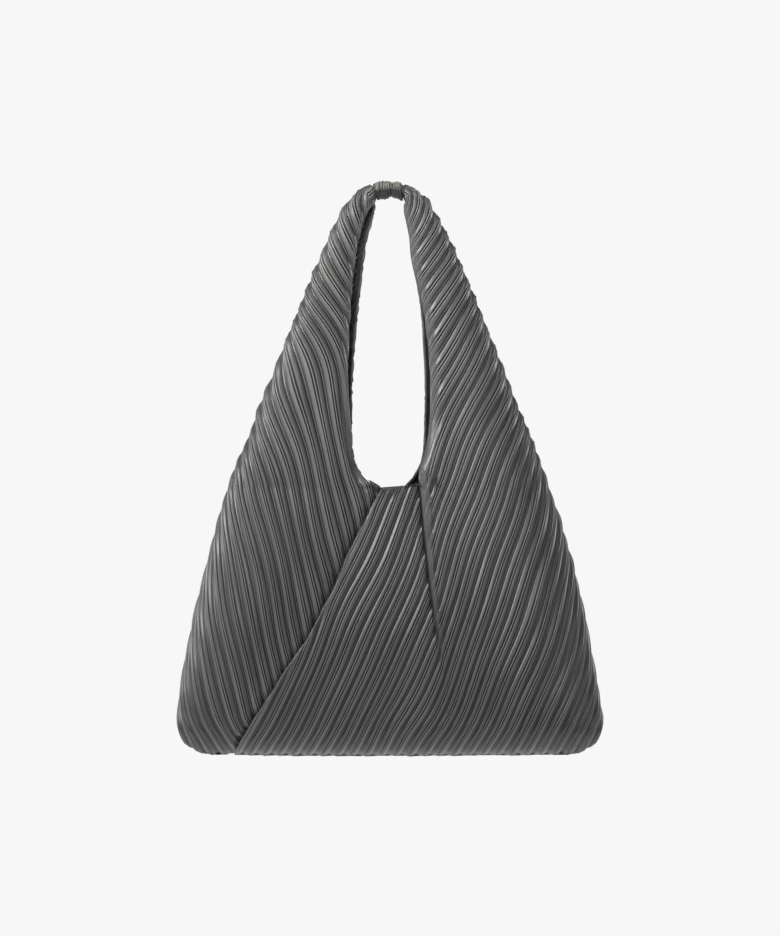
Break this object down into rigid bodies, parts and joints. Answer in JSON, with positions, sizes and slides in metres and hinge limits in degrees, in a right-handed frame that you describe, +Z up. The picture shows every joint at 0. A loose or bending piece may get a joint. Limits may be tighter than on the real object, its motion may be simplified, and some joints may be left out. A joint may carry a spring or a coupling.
{
  "type": "accordion bag",
  "caption": "Soft pleated shoulder bag with a slanted front seam and two arms that meet in a gathered wrap at the top of the handle",
  "frame": {"origin": "the hang point, under the wrap at the top of the handle", "axes": "+Z up, the front with the slanted seam faces -Y, +X to the right seen from the front"},
  "size_m": [0.4268, 0.1074, 0.5759],
  "materials": {
    "pleated_cloth": "dark grey pleated satin with a soft sheen",
    "wrap_cloth": "dark grey gathered satin, slightly warm"
  },
  "bodies": {
    "root": {"right_panel": "pleated_cloth", "left_panel": "pleated_cloth", "handle_wrap": "wrap_cloth"}
  },
  "joints": []
}
